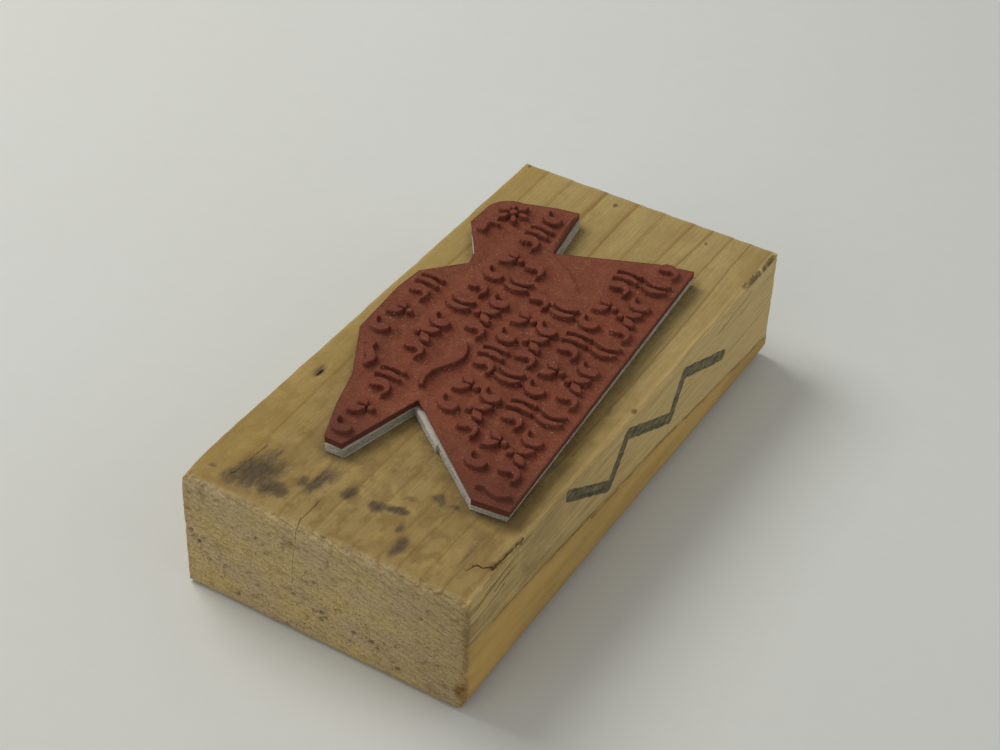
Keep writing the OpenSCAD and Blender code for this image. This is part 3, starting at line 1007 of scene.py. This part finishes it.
def rubber():
    s = Shader("red_rubber", roughness=0.62, specular=0.18)
    relief = s.attribute("relief")
    broad = s.noise((0.12, 0.12, 0.12), 3)
    mottle = s.noise((1.6, 1.6, 1.6), 4, 0.6)
    fine = s.noise((4.5, 4.5, 4.5), 4, 0.7, (3, 1, 1))
    base = Paint(s, s.smooth(broad, 0.35, 0.65), (0.27, 0.065, 0.029), (0.21, 0.050, 0.024))
    base.tint((0.26, 0.088, 0.045), s.smooth(mottle, 0.35, 0.7, 0.0, 0.35))
    base.tint((0.135, 0.035, 0.019), s.smooth(mottle, 0.5, 0.34, 0.0, 0.5))
    base.tint((0.25, 0.078, 0.034), s.attribute("valley"), 0.45)
    # Painted shade where the low ground meets the relief.
    base.tint((0.115, 0.03, 0.019), s.attribute("crease_shade"), 0.34)
    inked = s.times(s.smooth(relief, 0.5, 1.0), s.smooth(mottle, 0.2, 0.75, 0.85, 0.5))
    base.tint((0.225, 0.056, 0.03), inked)
    # Painted shade on the relief's sloping sides.
    slope = s.times(s.smooth(relief, 0.02, 0.3), s.smooth(relief, 0.98, 0.7))
    base.tint((0.085, 0.021, 0.016), slope, 0.55)

    # Dust and lint, more of them on the low ground
    haze = s.noise((0.7, 0.7, 0.6), 6, 0.74, (6, 1, 1))
    ground = s.minus(1.0, s.times(relief, 0.6))
    wiped = s.noise((0.5, 2.6, 1), 5, 0.72, (4, 9, 9))
    grit = s.noise((3.4, 3.4, 3.4), 4, 0.7, (5, 5, 1))
    base.tint((0.36, 0.125, 0.062), s.times(s.smooth(haze, 0.47, 0.66, 0.0, 0.36), ground))
    base.tint((0.40, 0.125, 0.058), s.times(s.smooth(fine, 0.5, 0.66, 0.0, 0.5), ground))
    base.tint((0.13, 0.032, 0.018), s.times(s.smooth(wiped, 0.5, 0.7, 0.0, 0.4), ground))
    base.tint((0.10, 0.028, 0.018), s.smooth(grit, 0.52, 0.66, 0.0, 0.5))
    dust = s.cells(s.stretched((1.5, 1.5, 1.5), (2, 7, 1)))
    dust = s.times(s.smooth(dust, 0.17, 0.09), s.smooth(haze, 0.4, 0.56))
    base.tint((0.60, 0.42, 0.30), dust, 0.75)
    bent = s.combined(s.times(haze, 2.0), 0, 0)
    lint = s.cells(s.vector("ADD", s.stretched((1.0, 0.55, 1.0), (3, 5, 0)), bent), "DISTANCE_TO_EDGE")
    some = s.smooth(s.noise((0.7, 0.7, 0.7), 2, offset=(9, 9, 2)), 0.6, 0.68)
    lint = s.times(s.smooth(lint, 0.022, 0.008), some)
    base.tint((0.52, 0.36, 0.26), lint, 0.4)
    dark = s.smooth(s.cells(s.stretched((1.1, 1.1, 1.1), (9, 2, 5))), 0.09, 0.05)
    base.tint((0.05, 0.02, 0.016), dark, 0.6)

    # The near end is darker, as painted shade, and so is the cut edge all round
    base.tint((0.105, 0.034, 0.022), s.smooth(s.axis("Y"), -18.0, -29.0, 0.0, 0.5))
    cut = s.smooth(s.noise((2.2, 2.2, 7), 3, 0.6), 0.35, 0.7)
    cut = s.mix(cut, (0.125, 0.034, 0.022), (0.17, 0.058, 0.036))
    base.tint(cut, s.attribute("wall"), 0.85)
    s.set("Base Color", base.colour)
    s.set("Roughness", s.smooth(mottle, 0.3, 0.7, 0.46, 0.64))
    height = s.times_plus(fine, 0.9, s.times(mottle, 1.3))
    height = s.plus(height, s.times(grit, 0.8))
    height = s.plus(height, s.times(s.math("MAXIMUM", dust, lint), 0.5))
    s.set("Normal", s.bump(height, 0.12))
    return s.material


# ---- the foam cushion and the adhesive films ----

NOTCH_LEFT = ((-5.6, -29.1, 0), (-2.7, -17.1, 0))    # the side of the notch whose foam gets painted shade
FOAM_ROWS = 8                # rows of points up the cushion's edge


def build_foam():
    outline, floor_z, top, _ = slab("foam_cushion")
    outline = resampled(outline, 0.17)
    inner = fill_points(outline, 2.0, 0.6)
    wall_zs = list(np.linspace(floor_z, top, FOAM_ROWS))

    def shift(edge, height):
        """Cut-open bubbles, deeper between the two faces than at them."""
        cell = np.column_stack([edge * 2.6, np.full(len(edge), height * 2.6)])
        bubbles = np.abs(value_noise(cell, 71) - 0.5) * 2
        bulge = 4 * (height - floor_z) * (top - height) / (top - floor_z) ** 2
        between = 0 < height - floor_z < top - floor_z - 1e-6
        cells = 0.16 * bubbles + 0.06 * value_noise(cell * 2.2, 72) if between else 0.05 * bubbles
        return cells + 0.05 * (1 - bulge)

    points, faces = slab_mesh(outline, inner, np.full(len(inner), top), wall_zs, shift)
    piece = mesh_object("foam", points, faces, foam(), smooth_angle=60)
    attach(piece, "root")
    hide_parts("foam_cushion")


def foam():
    s = Shader("foam", roughness=0.85, specular=0.3)
    cells = s.cells(s.stretched((3.4, 3.4, 3.4)))
    small = s.cells(s.stretched((7.5, 7.5, 7.5), (4, 4, 1)))
    grime = s.noise((0.35, 0.35, 0.6), 4, 0.6, (1, 8, 2))
    base = Paint(s, s.smooth(cells, 0.15, 0.6), (0.39, 0.355, 0.29), (0.58, 0.55, 0.485))
    base.tint((0.36, 0.33, 0.27), s.smooth(small, 0.3, 0.12, 0.0, 0.5))
    base.tint((0.30, 0.26, 0.20), s.smooth(grime, 0.45, 0.72, 0.0, 0.55))
    # Painted shade on the notch's left side, which faces away from the key light.
    notch_shade = s.near_line(s.vector("MULTIPLY", s.place, (1, 1, 0)), [NOTCH_LEFT])
    base.tint((0.25, 0.22, 0.17), s.smooth(notch_shade, 0.9, 0.5, 0.0, 0.45))
    specks = s.smooth(s.cells(s.stretched((1.6, 1.6, 2.2), (6, 3, 0))), 0.13, 0.07)
    base.tint((0.06, 0.06, 0.045), specks, 0.7)
    s.set("Base Color", base.colour)
    height = s.plus(s.times(cells, 0.8), s.times(small, 0.5))
    s.set("Normal", s.bump(height, 0.12, 0.9))
    return s.material


def film():
    s = Shader("adhesive", roughness=0.35)
    smear = s.noise((0.5, 0.5, 0.5), 4, 0.6)
    lint = s.noise((4, 0.8, 4), 3, 0.6)
    base = Paint(s, s.smooth(smear, 0.35, 0.7), (0.66, 0.63, 0.55), (0.52, 0.47, 0.37))
    base.tint((0.34, 0.29, 0.21), s.smooth(lint, 0.6, 0.75, 0.0, 0.5))
    s.set("Base Color", base.colour)
    s.set("Roughness", s.smooth(smear, 0.3, 0.7, 0.3, 0.55))
    s.set("Normal", s.bump(smear, 0.03, 0.5))
    return s.material


def dress_films():
    material = film()
    for name in ("block_film", "die_film"):
        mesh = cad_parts[name].data
        mesh.materials.clear()
        mesh.materials.append(material)


# ---- the studio ----

FLOOR_HALF = 1200            # half width of the paper


def floor():
    s = Shader("paper", roughness=0.75, specular=0.25)
    broad = s.noise((0.006, 0.006, 0), 2)
    fine = s.noise((0.25, 0.25, 0), 4, 0.6)
    base = Paint(s, s.smooth(broad, 0.3, 0.7), (0.775, 0.79, 0.745), (0.76, 0.765, 0.715))
    base.tint((0.68, 0.68, 0.63), s.smooth(fine, 0.3, 0.8, 0.0, 0.1))
    specks = s.smooth(s.cells(s.stretched((0.045, 0.045, 0))), 0.017, 0.011)
    base.tint((0.16, 0.14, 0.11), specks, 0.6)
    s.set("Base Color", base.colour)
    s.set("Normal", s.bump(fine, 0.03, 0.3))
    corners = [(FLOOR_HALF * x, FLOOR_HALF * y, 0) for x, y in ((-1, -1), (1, -1), (1, 1), (-1, 1))]
    piece = mesh_object("floor", corners, [(0, 1, 2, 3)], s.material)


build_block()
build_rubber()
build_foam()
dress_films()
floor()
add_camera()
for light in LIGHTS:
    add_area_light(*light)
add_world((0.96, 0.98, 1.0), 0.30)
bpy.context.scene.view_settings.view_transform = "Standard"
